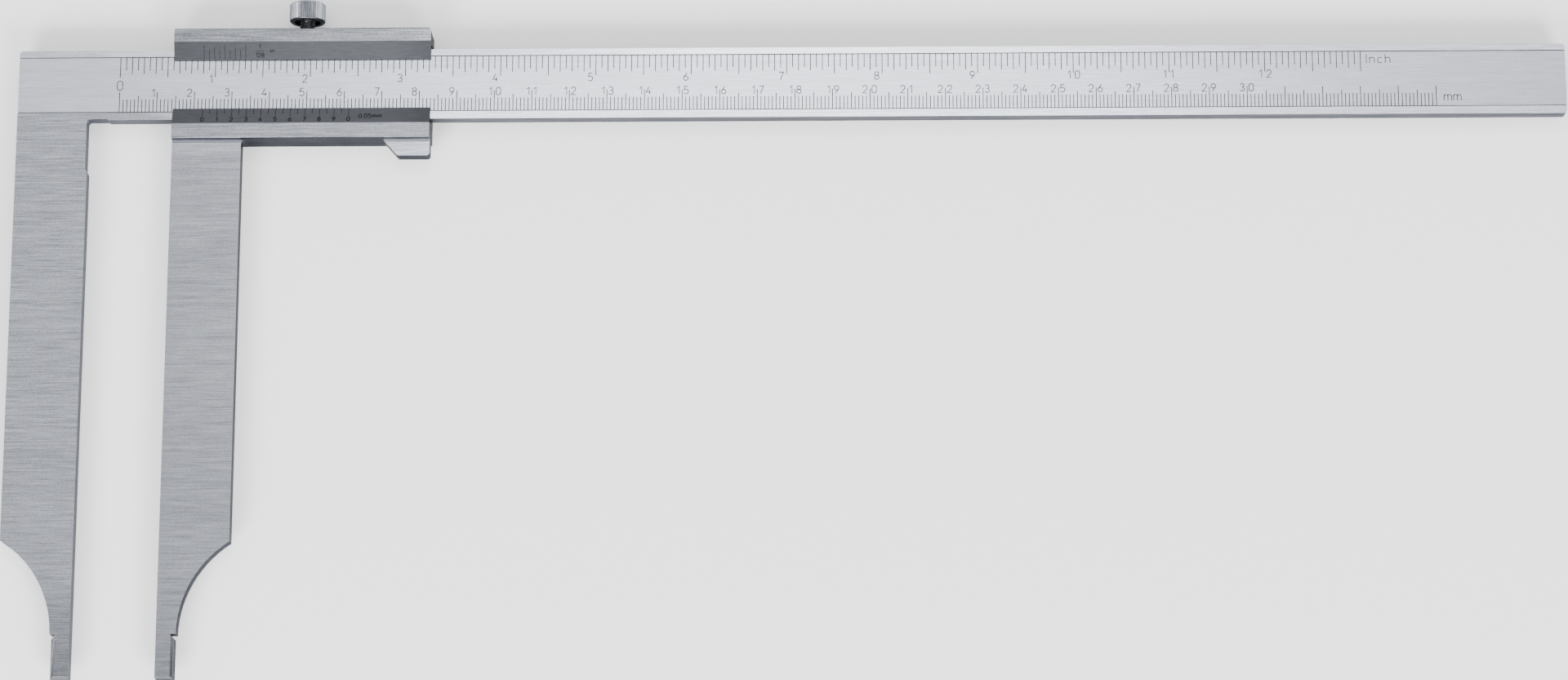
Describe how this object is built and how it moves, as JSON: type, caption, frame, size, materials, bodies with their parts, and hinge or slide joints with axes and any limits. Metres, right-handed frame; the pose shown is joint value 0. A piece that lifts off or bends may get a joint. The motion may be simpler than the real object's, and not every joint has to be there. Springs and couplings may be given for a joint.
{
  "type": "vernier caliper",
  "caption": "Workshop vernier caliper with long outside jaws, rounded inside-measuring tips, metric and inch scales, thumb rest and a knurled lock screw on the slider.",
  "frame": {"origin": "centre of the footprint, on the plane that the slider's back lies on", "axes": "+X along the beam away from the fixed jaw, +Y across the beam away from the jaw tips, +Z out of the scale side"},
  "size_m": [0.4116, 0.1824, 0.0103],
  "materials": {
    "beam_steel": "satin, ground faces",
    "slider_steel": "brushed",
    "knob_steel": "straight knurled",
    "stud_steel": "bright turned",
    "screw_steel": "darkened",
    "gib_bronze": "rolled strip",
    "pad_brass": "turned"
  },
  "bodies": {
    "beam": {"beam_and_fixed_jaw": "beam_steel", "beam_stop_screw": "screw_steel"},
    "slider": {"slider_and_movable_jaw": "slider_steel", "gib_strip": "gib_bronze", "gib_set_screw_left": "screw_steel", "gib_set_screw_right": "screw_steel"},
    "lock_pad": {"lock_pressure_pad": "pad_brass"},
    "lock_screw": {"lock_screw_stud": "stud_steel", "lock_screw_knob": "knob_steel"}
  },
  "joints": [
    {"name": "slider_slide", "type": "slide", "parent": "beam", "child": "slider", "axis": [1, 0, 0], "range_m": [-0.0224, 0.2826]},
    {"name": "lock_pad_slide", "type": "slide", "parent": "slider", "child": "lock_pad", "axis": [0, 1, 0], "range_m": [-0.0002, 0.0014]},
    {"name": "lock_screw_turn", "type": "hinge", "parent": "lock_pad", "child": "lock_screw", "pos_m": [-0.12915, 0.0885, 0.0055], "axis": [0, 1, 0], "range_deg": [-103, 721]}
  ],
  "couplings": [
    {"joint": "lock_screw_turn", "follows": "lock_pad_slide", "rad_per_m": 8976}
  ]
}
